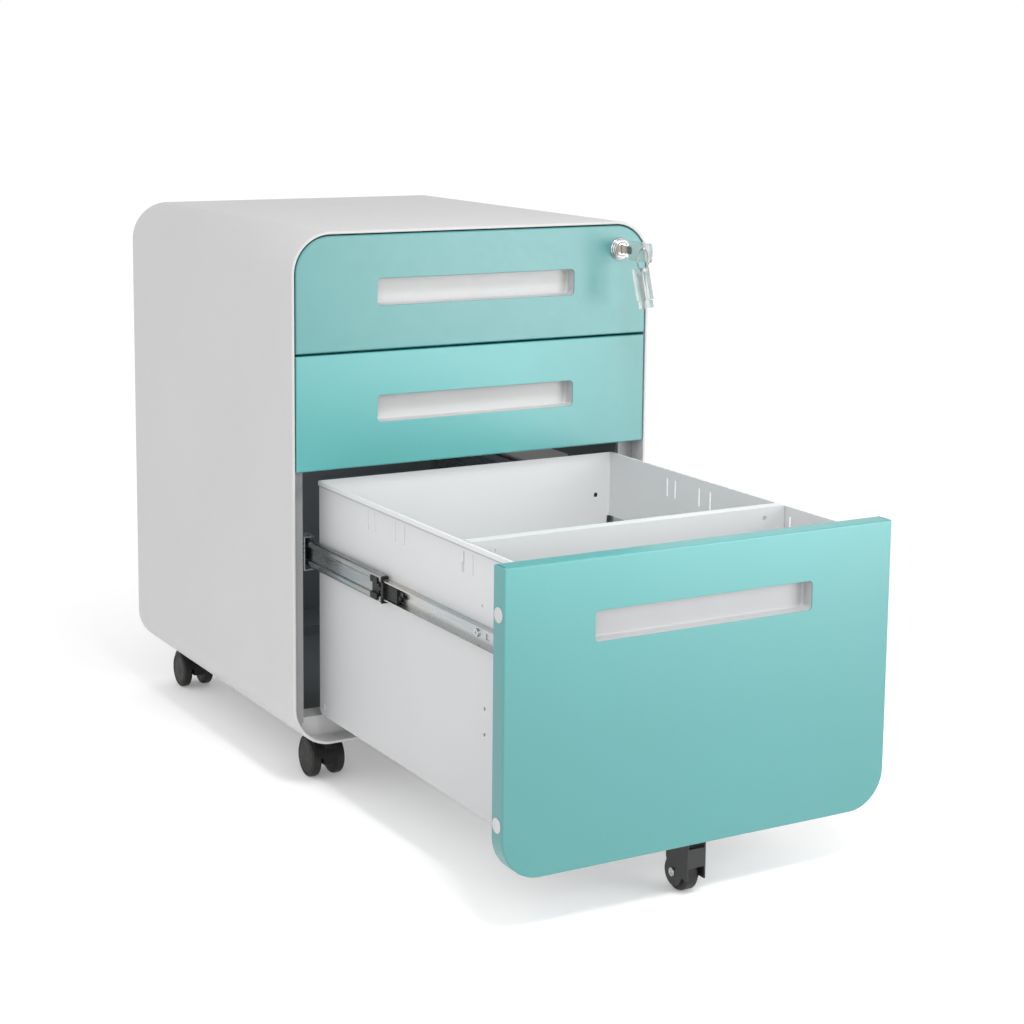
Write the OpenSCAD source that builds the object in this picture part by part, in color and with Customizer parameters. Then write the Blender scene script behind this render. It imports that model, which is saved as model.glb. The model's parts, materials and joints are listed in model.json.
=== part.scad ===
// Three-drawer mobile filing pedestal with a wrap-around steel shell.
// Origin: on the floor, under the middle of the cabinet with its file drawer pulled out.
// +X is to the right seen from the front, the drawers open towards -Y, +Z is up.

/* [Cabinet] */
// Outer width of the shell
body_w = 400; // [360:1:460]
// Depth of the shell, rim to back
body_d = 431; // [426:1:520]
// Height of the shell without its casters
body_h = 501; // [490:1:600]
// Outside radius of the four long edges of the shell
corner_r = 40.5; // [38:0.5:46]
// Height of the shell's underside above the floor
foot_h = 47; // [46:0.5:60]

/* [Drawers] */
// Height of the file drawer's front
file_front_h = 262; // [250:1:262]
// Height of each box drawer's front
box_front_h = 111.2; // [100:0.1:111.2]
// Depth of the folded drawer fronts
front_depth = 18; // [16:1:20]
// Full travel of the file drawer
file_travel = 400; // [300:1:400]
// Width of each pull opening
pull_w = 220; // [120:1:260]
// Height of each pull opening
pull_h = 26; // [24:0.5:30]

/* [Running gear] */
// Diameter of the caster wheels
caster_d = 39; // [36:1:42]
// Diameter of the anti-tip wheel
anti_tip_d = 34; // [28:1:36]
// Distance of a front caster's stem from the front of the shell
front_caster_inset = 38; // [36:1:60]
// Distance of a rear caster's stem from the back of the shell
rear_caster_inset = 45; // [42:1:70]
// Distance of a caster stem from the side of the shell
side_caster_inset = 52; // [50:1:80]

/* [Hidden] */
$fn = 48;
e = 0.01;

// sheet metal
shell_t = 1.2;
rim_t = 3;
rim_depth = 22;
sheet = 1;
flange_w = 20;
front_y = -(body_d - file_travel) / 2;

// inner sides
upright_x = body_w / 2 - flange_w - 1.4;
upright_t = 1.2;
upright_y0 = 24;
upright_y1 = body_d - 5;

// drawer fronts
front_gap = 1.2;
front_w = body_w - 2 * (rim_t + front_gap);
front_r = corner_r - rim_t - front_gap;
top_front_z = body_h - rim_t - front_gap - box_front_h;
drawer_gap = 2;
middle_front_z = top_front_z - drawer_gap - box_front_h;
file_front_z = rim_t + front_gap;
edge_r = 1;
lip_w = 9;
pull_r = 4;
file_pull_drop = 45;

// drawer boxes
slide_t = 12.7;
box_w = 2 * (upright_x - slide_t);
box_y0 = front_depth;
box_len = 396;
box_side_h = 64;
file_box_z = 28.3;
file_box_h = 232;
middle_box_z = middle_front_z + 6;
top_box_z = top_front_z + 5;
hem_h = 5;
hem_t = 1.4;

// slides: half heights of the nested channels, and where they lie
rail_len = 400;
rail_y0 = 22;
cab_half = 16.8;
mid_half = 12.8;
in_half = 9;
rail_t = 1.1;
ball_d = 2.5;
mid_len = 340;
mid_setback = 40;
file_slide_z = 187.5;
middle_slide_z = middle_box_z + box_side_h / 2;
top_slide_z = top_box_z + box_side_h / 2;

// lock
lock_x = 163.7;
lock_z = body_h - 28.1;
plug_d = 13;

// casters
wheel_r = caster_d / 2;
trail = 12;
wheel_mid = 12.6;
wheel_w = 9.4;
stem_d = 8;

// anti-tip wheel under the file drawer's front
at_axle_y = 29;
at_axle_z = -foot_h + anti_tip_d / 2 + 0.8;
at_wheel_w = 14;
at_half = 9.6;
at_t = 1.5;

// ---------- helpers ----------

// places children measured from the shell's rim and underside
module cab(x = 0, y = 0, z = 0) {
    translate([x, front_y + y, foot_h + z]) children();
}

// the file drawer's own place, pulled out to its stop
module drawn(x = 0, y = 0, z = 0) {
    cab(x, y - file_travel, z) children();
}

module both_sides() {
    children();
    mirror([1, 0, 0]) children();
}

// block from three ranges
module block(xr, yr, zr) {
    translate([xr[0], yr[0], zr[0]]) cube([xr[1] - xr[0], yr[1] - yr[0], zr[1] - zr[0]]);
}

// rounded rectangle in the XZ plane, swept along Y from y0 to y1
module slab(y0, y1) {
    translate([0, y1, 0]) rotate([90, 0, 0]) linear_extrude(y1 - y0) children();
}

module round_rect(w, z0, z1, r_bottom, r_top) {
    union() {
        translate([-w / 2, z0 + r_bottom]) square([w, z1 - z0 - r_bottom - r_top]);
        translate([-w / 2 + r_bottom, z0]) square([w - 2 * r_bottom, r_bottom + e]);
        translate([-w / 2 + r_top, z1 - r_top - e]) square([w - 2 * r_top, r_top + e]);
        for (s = [-1, 1]) {
            translate([s * (w / 2 - r_bottom), z0 + r_bottom]) circle(r = r_bottom);
            translate([s * (w / 2 - r_top), z1 - r_top]) circle(r = r_top);
        }
    }
}

module shell_outline(inset) {
    round_rect(body_w - 2 * inset, inset, body_h - inset, corner_r - inset, corner_r - inset);
}

module shell_ring(outer_inset, inner_inset) {
    difference() {
        shell_outline(outer_inset);
        shell_outline(inner_inset);
    }
}

// Y-axis cylinder from y0 to y1
module rod_y(d, y0, y1) {
    translate([0, y1, 0]) rotate([90, 0, 0]) cylinder(d = d, h = y1 - y0);
}

// X-axis cylinder centred on its length
module rod_x(d, l) {
    rotate([0, 90, 0]) cylinder(d = d, h = l, center = true);
}

// ---------- cabinet body ----------

module outer_shell() {
    color([0.82, 0.82, 0.82]) cab() difference() {
        union() {
            slab(0, body_d) shell_ring(0, shell_t);
            slab(0, rim_depth) shell_ring(shell_t - e, rim_t);
            slab(rim_depth, rim_depth + shell_t) difference() {
                shell_outline(shell_t - e);
                translate([-body_w / 2 + flange_w, 0]) square([body_w - 2 * flange_w, body_h]);
            }
        }
        for (s = [-1, 1]) {
            // relief cuts either side of the floor tabs
            for (x = [143, 150]) translate([s * x, 11, 3]) cube([0.8, 16, 2.4], center = true);
            // notches where the side returns meet the corners
            translate([s * (body_w / 2 - flange_w), rim_depth, 14]) cube([4, 6, 8], center = true);
            translate([s * (body_w / 2 - flange_w), rim_depth, body_h - 14])
                cube([4, 6, 8], center = true);
            for (y = [front_caster_inset, body_d - rear_caster_inset])
                translate([s * (body_w / 2 - side_caster_inset), y, -1]) cylinder(d = stem_d + 0.4, h = 6);
        }
        // notch that lets the anti-tip bracket close with the file drawer
        block([-at_half - 8, at_half + 8], [-1, 19], [-1, rim_t + 0.5]);
    }
}

module back_panel() {
    y0 = body_d - 3.2;
    rib_z = [body_h * 0.36, body_h * 0.68];
    color([0.21, 0.22, 0.23]) cab() difference() {
        union() {
            slab(y0, y0 + shell_t) shell_outline(shell_t + 0.3);
            slab(y0 - 12, y0 + e) shell_ring(shell_t + 0.3, 2 * shell_t + 0.3);
            for (z = rib_z) block([-150, 150], [y0 - 2, y0 + e], [z - 7, z + 7]);
        }
        // the stiffening ribs are pressed in, so each shows as a groove outside
        for (z = rib_z) block([-149, 149], [y0 - 1, y0 + shell_t + 1], [z - 6, z + 6]);
        screw_places() rod_y(4.2, y0 - 1, body_d);
    }
}

module screw_places() {
    for (s = [-1, 1])
        for (z = [60, body_h / 2, body_h - 60])
            translate([s * (body_w / 2 - 10), 0, z]) children();
}

module back_panel_screws() {
    y0 = body_d - 3.2 + shell_t;
    color("silver") cab() screw_places() difference() {
        union() {
            rod_y(7.6, y0, y0 + 1.8);
            rod_y(3.9, y0 - 10, y0 + e);
        }
        block([-0.5, 0.5], [y0 + 0.8, y0 + 3], [-2.2, 2.2]);
        block([-2.2, 2.2], [y0 + 0.8, y0 + 3], [-0.5, 0.5]);
    }
}

// inner side: a channel that carries the rails, with hook slots on request
module upright(slots) {
    outer_x = body_w / 2 - 2 * shell_t - 0.6;
    z0 = corner_r;
    z1 = body_h - corner_r;
    color([0.21, 0.22, 0.23]) cab() difference() {
        union() {
            block([upright_x, upright_x + upright_t], [upright_y0, upright_y1], [z0, z1]);
            block([upright_x, outer_x], [upright_y0, upright_y0 + upright_t], [z0, z1]);
            block([upright_x, outer_x], [upright_y1 - upright_t, upright_y1], [z0, z1]);
            block([outer_x - upright_t, outer_x], [upright_y0, upright_y0 + 14], [z0 + 12, z1 - 12]);
            block([outer_x - upright_t, outer_x], [upright_y1 - 14, upright_y1], [z0 + 12, z1 - 12]);
        }
        screw_places() rod_y(4.2, upright_y1 - 4, upright_y1 + 4);
        for (z = [110, 225, 375]) block([upright_x - 1, upright_x + 3], [120, 320], [z - 14, z + 14]);
        if (slots) for (z = catch_z())
            block([upright_x - 1, upright_x + 3], [catch_y - 3, catch_y + 3], [z - 10, z + 12]);
    }
}

module left_upright() { mirror([1, 0, 0]) upright(false); }

module right_upright() { upright(true); }

module top_front_rail() {
    z1 = body_h - rim_t - 0.6;
    color([0.21, 0.22, 0.23]) cab() union() {
        block([-168, 168], [upright_y0, upright_y0 + 26], [z1 - shell_t, z1]);
        block([-168, 168], [upright_y0, upright_y0 + shell_t], [z1 - 12, z1]);
    }
}

module bottom_front_rail() {
    y0 = rim_depth + shell_t;
    z1 = 23;
    color([0.72, 0.72, 0.73]) cab() difference() {
        union() {
            slab(y0, y0 + shell_t) intersection() {
                shell_outline(shell_t + 0.3);
                translate([-body_w / 2, 0]) square([body_w, z1]);
            }
            slab(y0, y0 + 24) intersection() {
                shell_outline(shell_t + 0.3);
                translate([-body_w / 2, z1 - shell_t]) square([body_w, shell_t]);
            }
            slab(y0 + 24, y0 + 24 + shell_t) intersection() {
                shell_outline(shell_t + 0.3);
                translate([-body_w / 2, z1 - 12]) square([body_w, 12]);
            }
        }
        for (s = [-1, 1]) translate([s * 120, y0 - 1, 12]) rotate([-90, 0, 0]) cylinder(d = 5, h = 6);
    }
}

// inner floor, raised over the caster nuts at the front and back
module floor_pan() {
    x_low = 160;
    x_high = 176;
    step_y = [116, 354];
    z_low = 4;
    z_high = 16;
    t = sheet;
    color([0.21, 0.22, 0.23]) cab() union() {
        block([-x_high, x_high], [50, step_y[0]], [z_high - t, z_high]);
        block([-x_low, x_low], [50, 50 + t], [shell_t + 0.1, z_high - t + e]);
        block([-x_low, x_low], [step_y[0] - t, step_y[0]], [z_low - t, z_high - t + e]);
        block([-x_low, x_low], [step_y[0] - e, step_y[1] + e], [z_low - t, z_low]);
        block([-x_low, x_low], [step_y[1], step_y[1] + t], [z_low - t, z_high - t + e]);
        block([-x_high, x_high], [step_y[1], body_d - 7], [z_high - t, z_high]);
    }
}

// ---------- casters ----------

// stem places by side and end; every hood trails towards the back
module caster_at(sx, back) {
    x = sx * (body_w / 2 - side_caster_inset);
    y = back ? body_d - rear_caster_inset : front_caster_inset;
    cab(x, y, 0) children();
}

module all_casters() {
    for (s = [-1, 1]) for (back = [false, true]) caster_at(s, back) children();
}

module caster_stems() {
    color("gray") all_casters() union() {
        translate([0, 0, -8]) cylinder(d = stem_d, h = 20);
        translate([0, 0, -1.8]) cylinder(d = 13, h = 1.8);
    }
}

module caster_nuts() {
    color("silver") all_casters() difference() {
        translate([0, 0, shell_t]) cylinder(d = 15, h = 6.5, $fn = 6);
        translate([0, 0, 0]) cylinder(d = stem_d, h = 10);
    }
}

// hood between and over the twin wheels, measured from the stem
module caster_hood() {
    cz = -foot_h + wheel_r;
    half = wheel_mid - wheel_w / 2 - 0.5;
    difference() {
        union() {
            difference() {
                translate([0, trail, cz]) rod_x(caster_d + 6, 2 * half);
                block([-20, 20], [trail - 40, trail + 40], [cz - 40, cz - 3]);
                translate([0, trail, cz - 12]) rod_x(caster_d - 6, 2 * half - 5);
            }
            translate([0, 0, cz]) cylinder(d = 2 * half, h = -cz - 2.2);
            translate([0, trail, cz]) difference() {
                rod_x(caster_d + 6, 2 * (wheel_mid + 2));
                rod_x(caster_d + 2, 2 * (wheel_mid + 3));
                block([-20, 20], [-40, 40], [-40, 4]);
            }
            translate([0, trail, cz]) rod_x(6, 2 * (wheel_mid + 2));
            translate([0, trail, cz]) rod_x(14, 2 * half);
        }
        translate([0, 0, -9]) cylinder(d = stem_d + 0.1, h = 12);
        block([-20, 20], [-40, 60], [-2.1, 6]);
    }
}

module caster_wheel() {
    cz = -foot_h + wheel_r;
    r = wheel_r;
    w = wheel_w;
    translate([0, trail, cz]) rotate([0, 90, 0]) difference() {
        rotate_extrude() union() {
            translate([0, -w / 2]) square([r - 2.4, w]);
            translate([0, -w / 2 + 2.4]) square([r, w - 4.8]);
            for (s = [-1, 1]) translate([r - 2.4, s * (w / 2 - 2.4)]) circle(r = 2.4);
        }
        translate([0, 0, -w]) cylinder(d = 6.2, h = w + 2.4);
        translate([0, 0, w / 2 - 0.8]) difference() {
            cylinder(d = 2 * r - 6, h = 2);
            cylinder(d = 2 * r - 8, h = 5, center = true);
        }
    }
}

module caster_wheels() {
    translate([wheel_mid, 0, 0]) caster_wheel();
    mirror([1, 0, 0]) translate([wheel_mid, 0, 0]) caster_wheel();
}

module hood_at(s, back) { color([0.13, 0.13, 0.13]) caster_at(s, back) caster_hood(); }

module wheels_at(s, back) { color([0.18, 0.18, 0.18]) caster_at(s, back) caster_wheels(); }

// ---------- slides ----------

// channel section in X (0 at the upright, slide_t at the drawer) and Z, right-hand side
module channel(half, x0, x1, lip, toward) {
    web = toward > 0 ? x0 : x1 - rail_t;
    union() {
        translate([web, -half]) square([rail_t, 2 * half]);
        for (s = [-1, 1]) {
            translate([x0, s > 0 ? half - rail_t : -half]) square([x1 - x0, rail_t]);
            translate([toward > 0 ? x1 - rail_t : x0, s > 0 ? half - rail_t - lip : -half])
                square([rail_t, rail_t + lip]);
        }
    }
}

// the file drawer's middle rail: its web is pressed in between the two ball races
module pressed_channel() {
    race = 7;
    difference() {
        union() {
            channel(mid_half, 3.2, 10.6, 0.6, 1);
            translate([3.2, -race]) square([3.3, 2 * race]);
        }
        translate([3, -race + rail_t]) square([2.4, 2 * race - 2 * rail_t]);
    }
}

// sweeps a slide section; u runs from the upright towards the drawer
module rail(y0, y1, z) {
    translate([upright_x, 0, z]) mirror([1, 0, 0]) slab(y0, y1) children();
}

module holes_x(ys, d, z) {
    for (y = ys) translate([upright_x - slide_t / 2, y, z]) rod_x(d, 30);
}

module cabinet_rail(half, x1, z) {
    difference() {
        rail(rail_y0, rail_y0 + rail_len, z) channel(half, 0, x1, 0.9, 1);
        holes_x([rail_y0 + 35, rail_y0 + 195, rail_y0 + 355], 4.4, z);
    }
}

// the drawer member: its channel opens towards the upright
module drawer_rail(z) {
    difference() {
        rail(rail_y0, rail_y0 + rail_len, z) channel(in_half, 4.6, slide_t, 0, -1);
        translate([upright_x - slide_t, 0, z]) for (y = [78, 236])
            block([-1, 2], [y - 3, y + 3], [-2.6, 2.6]);
    }
}

module ball_row(half_in, half_out, u, ys, z) {
    zc = (half_in + half_out) / 2;
    for (y = ys, s = [-1, 1]) translate([upright_x - u, y, z + s * zc]) sphere(d = ball_d, $fn = 24);
}

// ball cage: a web strip with arms through which the balls show
module cage(half_in, half_out, u_web, u_ball, y0, len, pitch, z) {
    zc = (half_in + half_out) / 2;
    difference() {
        translate([upright_x, 0, z]) mirror([1, 0, 0]) union() {
            block([u_web, u_web + 0.7], [y0, y0 + len], [-zc - 0.4, zc + 0.4]);
            for (s = [-1, 1])
                block([u_web, u_ball + 2.2], [y0, y0 + len], [s * zc - 0.4, s * zc + 0.4]);
        }
        for (y = [y0 + pitch / 2:pitch:y0 + len], s = [-1, 1])
            translate([upright_x - u_ball, y, z + s * zc]) cylinder(d = ball_d + 0.3, h = 4, center = true);
    }
}

function steps(y0, len, pitch) = [for (y = [y0 + pitch / 2:pitch:y0 + len]) y];

file_outer_y = 40;
file_outer_len = 150;
file_inner_y = -file_travel + 272;
file_inner_len = 130;
cage_pitch = 24;
web_gap_u = 1.9;
outer_ball_u = 7;
inner_ball_u = 7;

module file_cabinet_rails() {
    color("silver") cab() both_sides() cabinet_rail(cab_half, 11, file_slide_z);
}

module file_middle_rails() {
    y0 = rail_y0 + mid_setback - file_travel / 2;
    color([0.68, 0.7, 0.7]) cab() both_sides() difference() {
        rail(y0, y0 + mid_len, file_slide_z) pressed_channel();
        translate([upright_x - slide_t, 0, file_slide_z]) for (k = [0, 1])
            block([0, slide_t], [y0 + mid_len - 24 - 22 * k - 12, y0 + mid_len - 24 - 22 * k], [-5, 5]);
    }
}

// moulded stop at the front end of each middle rail: a cap round the drawer member, a
// tongue that lies in its trough, and a clip that grips the pressed web from outside
module file_end_blocks() {
    y0 = rail_y0 + mid_setback - file_travel / 2;
    cap_y = [y0 - 2.6, y0 - 0.3];
    clip_y = [y0 + 5, y0 + 19];
    color([0.1, 0.1, 0.1]) cab() both_sides() translate([upright_x, 0, file_slide_z]) mirror([1, 0, 0])
        union() {
            block([3.2, 4.2], cap_y, [-mid_half + 0.4, mid_half - 0.4]);
            block([3.2, 9], [y0 - 5, y0 - 0.3], [-7.4, 7.4]);
            block([6, 9], [y0 - 28, y0 - 4.9], [-7.4, 7.4]);
            block([6.8, 8.2], [y0 - 33, y0 - 27.9], [-3, 1]);
            block([4.2, 5.1], [y0 - 0.4, clip_y[0] + e], [-1.5, 1.5]);
            block([4.2, 5.1], clip_y, [-5.6, 5.6]);
            for (s = [-1, 1]) {
                block([3.2, 10.4], cap_y, [s * 11 - 1.4, s * 11 + 1.4]);
                block([1.9, 5.1], clip_y, [s * 5.1 - 0.5, s * 5.1 + 0.5]);
                block([1.9, 2.9], clip_y, [s * 7.6 - 3, s * 7.6 + 3]);
            }
        }
}

module file_drawer_rails() {
    color("silver") drawn() both_sides() difference() {
        drawer_rail(file_slide_z);
        holes_x([96, 250, 380], 4.2, file_slide_z);
    }
}

module file_rail_screws() {
    color("silver") drawn() both_sides() for (y = [96, 250, 380])
        translate([upright_x - slide_t, y, file_slide_z]) difference() {
            union() {
                translate([rail_t, 0, 0]) rotate([0, 90, 0]) cylinder(d = 7, h = 1.6);
                translate([-3.5, 0, 0]) rotate([0, 90, 0]) cylinder(d = 4.1, h = 5);
            }
            translate([rail_t + 1.3, 0, 0]) cube([1.4, 3.6, 0.8], center = true);
            translate([rail_t + 1.3, 0, 0]) cube([1.4, 0.8, 3.6], center = true);
        }
}

module file_outer_cages() {
    color("gray") cab() both_sides()
        cage(mid_half, cab_half - rail_t, web_gap_u - 0.4, outer_ball_u, file_outer_y, file_outer_len,
            cage_pitch, file_slide_z);
}

module file_outer_balls() {
    color("silver") cab() both_sides()
        ball_row(mid_half, cab_half - rail_t, outer_ball_u,
            steps(file_outer_y, file_outer_len, cage_pitch), file_slide_z);
}

module file_inner_cages() {
    color([0.3, 0.3, 0.3]) cab() both_sides() file_inner_cage();
}

// web set between the middle rail's web and the drawer member's open side
module file_inner_cage() {
    zc = (in_half + mid_half - rail_t) / 2;
    difference() {
        translate([upright_x, 0, file_slide_z]) mirror([1, 0, 0]) for (s = [-1, 1])
            block([4.6, inner_ball_u + 2.2], [file_inner_y, file_inner_y + file_inner_len],
                [s * zc - 0.4, s * zc + 0.4]);
        for (y = steps(file_inner_y, file_inner_len, cage_pitch), s = [-1, 1])
            translate([upright_x - inner_ball_u, y, file_slide_z + s * zc])
                cylinder(d = ball_d + 0.3, h = 4, center = true);
    }
}

module file_inner_balls() {
    color("silver") cab() both_sides()
        ball_row(in_half, mid_half - rail_t, inner_ball_u,
            steps(file_inner_y, file_inner_len, cage_pitch), file_slide_z);
}

// two-member slides of the box drawers
box_cage_y = 177;
box_cage_len = 90;

module box_cabinet_rails(z) {
    color("silver") cab() both_sides() cabinet_rail(mid_half, 10.6, z);
}

module box_drawer_rails(z) {
    color("silver") cab() both_sides() drawer_rail(z);
}

module box_cages(z) {
    zc = (in_half + mid_half - rail_t) / 2;
    color([0.3, 0.3, 0.3]) cab() both_sides() difference() {
        translate([upright_x, 0, z]) mirror([1, 0, 0]) union() {
            block([2.2, 2.9], [box_cage_y, box_cage_y + box_cage_len], [-zc - 0.4, zc + 0.4]);
            for (s = [-1, 1])
                block([2.2, inner_ball_u + 2.2], [box_cage_y, box_cage_y + box_cage_len],
                    [s * zc - 0.4, s * zc + 0.4]);
        }
        for (y = steps(box_cage_y, box_cage_len, cage_pitch), s = [-1, 1])
            translate([upright_x - inner_ball_u, y, z + s * zc])
                cylinder(d = ball_d + 0.3, h = 4, center = true);
    }
}

module box_balls(z) {
    color("silver") cab() both_sides()
        ball_row(in_half, mid_half - rail_t, inner_ball_u,
            steps(box_cage_y, box_cage_len, cage_pitch), z);
}

// ---------- drawer fronts ----------

module front_outline(z0, z1, r_bottom, r_top, inset) {
    round_rect(front_w - 2 * inset, z0 + inset, z1 - inset, max(r_bottom - inset, 0.8), max(r_top - inset, 0.8));
}

module pull_outline(z_top, grow) {
    translate([0, -grow]) round_rect(pull_w + 2 * grow, z_top - pull_h, z_top + 2 * grow, pull_r, pull_r);
}

// folded pan, open behind, with a lip turned in around its back
module front_pan(z0, h, r_bottom, r_top, pull_drop) {
    z1 = z0 + h;
    difference() {
        slab(0, front_depth) front_outline(z0, z1, r_bottom, r_top, 0);
        slab(sheet, front_depth - sheet) front_outline(z0, z1, r_bottom, r_top, sheet);
        slab(sheet, front_depth + 1) front_outline(z0, z1, r_bottom, r_top, lip_w);
        slab(-1, sheet + 1) pull_outline(z1 - pull_drop, 0);
    }
}

// moulded finger recess behind the pull opening
module pull_cup(z0, h, pull_drop) {
    zt = z0 + h - pull_drop;
    y0 = sheet;
    depth = 13.5;
    color("white") difference() {
        union() {
            slab(y0, y0 + 1.4) pull_outline(zt, 7);
            slab(y0, y0 + depth) pull_outline(zt, 1.6);
        }
        slab(y0 - 1, y0 + depth - 1.4) pull_outline(zt, 0);
        slab(y0 + 4, y0 + depth - 1.4) pull_outline(zt, 0.3);
    }
}

// bend relief slits at the square top corners of the file drawer's front
module corner_slits(z1) {
    for (s = [-1, 1]) translate([s * (front_w / 2 - 1.9), 9.5, z1]) cube([1.2, 13, 4.4], center = true);
}

module file_front() {
    color([0.5, 0.74, 0.73]) drawn() difference() {
        front_pan(file_front_z, file_front_h, front_r, edge_r, file_pull_drop);
        corner_slits(file_front_z + file_front_h);
        for (s = [-1, 1]) button_places(s) rod_x(6, 8);
    }
}

module middle_front() {
    color([0.5, 0.76, 0.75])
        cab() front_pan(middle_front_z, box_front_h, edge_r, edge_r, (box_front_h - pull_h) / 2);
}

module top_front() {
    color([0.56, 0.79, 0.78]) cab() difference() {
        front_pan(top_front_z, box_front_h, edge_r, front_r, (box_front_h - pull_h) / 2);
        translate([lock_x, 0, lock_z]) rod_y(16.6, -1, 6);
    }
}

module file_pull_cup() { drawn() pull_cup(file_front_z, file_front_h, file_pull_drop); }

module middle_pull_cup() { cab() pull_cup(middle_front_z, box_front_h, (box_front_h - pull_h) / 2); }

module top_pull_cup() { cab() pull_cup(top_front_z, box_front_h, (box_front_h - pull_h) / 2); }

module button_places(s) {
    for (z = [51.7, 226.5]) translate([s * front_w / 2, 9.3, z]) children();
}

module file_side_buttons() {
    color("white") drawn() for (s = [-1, 1]) button_places(s) scale([s, 1, 1]) union() {
        rotate([0, 90, 0]) cylinder(d = 13, h = 0.5);
        rotate([0, 90, 0]) cylinder(d = 11, h = 0.8);
        translate([-4, 0, 0]) rotate([0, 90, 0]) cylinder(d = 5.9, h = 4.2);
    }
}

// ---------- drawer boxes ----------

// open-topped folded box with a hem rolled outwards along each side, and the wide
// liner plate that closes the front's back from liner_z0 to liner_z1
module drawer_box(z0, h, liner_z0, liner_z1) {
    z1 = z0 + h;
    hw = box_w / 2;
    y1 = box_y0 + box_len;
    difference() {
        block([-hw, hw], [box_y0, y1], [z0, z1]);
        block([-hw + sheet, hw - sheet], [box_y0 + sheet, y1 - sheet], [z0 + sheet, z1 + 1]);
        for (s = [-1, 1]) translate([s * hw, y1, z0]) rotate([0, 90, 0])
            cylinder(r = 4, h = 12, center = true, $fn = 4);
    }
    for (s = [-1, 1])
        block([s > 0 ? hw - e : -hw - hem_t, s > 0 ? hw + hem_t : -hw + e],
            [box_y0 + 0.5, y1 - 0.5], [z1 - hem_h, z1]);
    block([-front_w / 2 + 3, front_w / 2 - 3], [box_y0, box_y0 + sheet], [liner_z0, liner_z1]);
}

// places of the paired divider slots, from the drawer front
slot_ys = [106, 122.5, 232.5, 251, 292.5, 306.5];

module file_box() {
    hw = box_w / 2;
    y1 = box_y0 + box_len;
    z1 = file_box_z + file_box_h;
    color([0.85, 0.86, 0.86]) drawn() difference() {
        drawer_box(file_box_z, file_box_h, file_front_z + front_r + 4, file_front_z + file_front_h - 3);
        for (s = [-1, 1]) {
            for (y = slot_ys) translate([s * hw, y, z1 - 17.8]) cube([6, 1.8, 18], center = true);
            translate([s * hw, 124.5, z1 - 22.8]) cube([6, 4, 8], center = true);
            block([s > 0 ? hw - 4 : -hw - 3, s > 0 ? hw + 3 : -hw + 4], [y1 - 30, y1 + 1],
                [z1 - 79, z1 - 66.8]);
            translate([s * hw, y1 - 11.5, file_box_z + 8.6]) cube([6, 3, 7], center = true);
            for (p = [[84.5, 123.9], [84.5, 101.4], [89.4, 211.3]])
                translate([s * hw, p[0], p[1]]) rod_x(3.4, 6);
            for (y = [96, 250, 380]) translate([s * hw, y, file_slide_z]) rod_x(4.15, 6);
            translate([s * 148, y1 + 1, z1 - 43.8]) rotate([90, 0, 0]) cylinder(d = 5, h = 6);
        }
    }
}

module middle_box() {
    color([0.85, 0.86, 0.86])
        cab() drawer_box(middle_box_z, box_side_h, middle_front_z + 3, middle_box_z + box_side_h);
}

module top_box() {
    color([0.85, 0.86, 0.86])
        cab() drawer_box(top_box_z, box_side_h, top_front_z + 3, top_box_z + box_side_h);
}

// hanging plate with a rolled top and side returns
divider_y = 114;

module file_divider() {
    hw = box_w / 2 - sheet - 0.4;
    z0 = file_box_z + sheet + 3;
    z1 = file_box_z + file_box_h + 0.6;
    color([0.87, 0.88, 0.88]) drawn(0, divider_y, 0) difference() {
        union() {
            block([-hw, hw], [0, sheet], [z0, z1]);
            block([-hw, hw], [0, 12], [z1 - sheet, z1]);
            block([-hw, hw], [11, 12], [z1 - 8, z1]);
            for (s = [-1, 1])
                block([s > 0 ? hw - sheet : -hw, s > 0 ? hw : -hw + sheet], [0, 12], [z0, z1]);
        }
        for (s = [-1, 1]) translate([s * 142, -2, z1 - 10]) rotate([-90, 0, 0]) cylinder(d = 4.4, h = 6);
    }
}

// ---------- anti-tip wheel ----------

module anti_tip_bracket() {
    color([0.1, 0.1, 0.1]) drawn() difference() {
        union() {
            block([-at_half, at_half], [7, 7 + at_t], [-20, -3]);
            for (s = [-1, 1]) translate([s * (at_half - at_t / 2), 0, 0]) {
                translate([0, at_axle_y, at_axle_z]) rod_x(25, at_t);
                block([-at_t / 2, at_t / 2], [7, 26], [at_axle_z - 2, -3]);
                block([-at_t / 2, at_t / 2], [7, 15.5], [-4, file_front_z]);
                translate([0, at_axle_y + 1, -6 - 10]) rod_x(20, at_t);
            }
            for (s = [-1, 1])
                block([s > 0 ? at_half - 5 : -at_half - 6, s > 0 ? at_half + 6 : -at_half + 5], [5, 17],
                    [file_front_z - 1.4, file_front_z]);
        }
        translate([0, at_axle_y, at_axle_z]) rod_x(5.2, 40);
    }
}

module anti_tip_axle() {
    color("silver") drawn(0, at_axle_y, at_axle_z) difference() {
        union() {
            rod_x(5, 2 * at_half + 2);
            for (s = [-1, 1]) translate([s * (at_half + 0.9), 0, 0]) rod_x(7.6, 1.6);
        }
        for (s = [-1, 1]) translate([s * (at_half + 1.8), 0, 0]) rotate([0, 90, 0])
            cylinder(d = 3.6, h = 1.6, center = true, $fn = 6);
    }
}

module anti_tip_wheel() {
    w = at_wheel_w;
    r = anti_tip_d / 2;
    color([0.18, 0.18, 0.18]) drawn(0, at_axle_y, at_axle_z) rotate([0, 90, 0]) difference() {
        rotate_extrude() union() {
            translate([0, -w / 2]) square([r - 3.2, w]);
            translate([0, -w / 2 + 3.2]) square([r, w - 6.4]);
            for (s = [-1, 1]) translate([r - 3.2, s * (w / 2 - 3.2)]) circle(r = 3.2);
        }
        cylinder(d = 5.3, h = 3 * w, center = true);
    }
}

// ---------- lock and keys ----------

catch_y = 34;
cam_len = 14.6;

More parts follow.
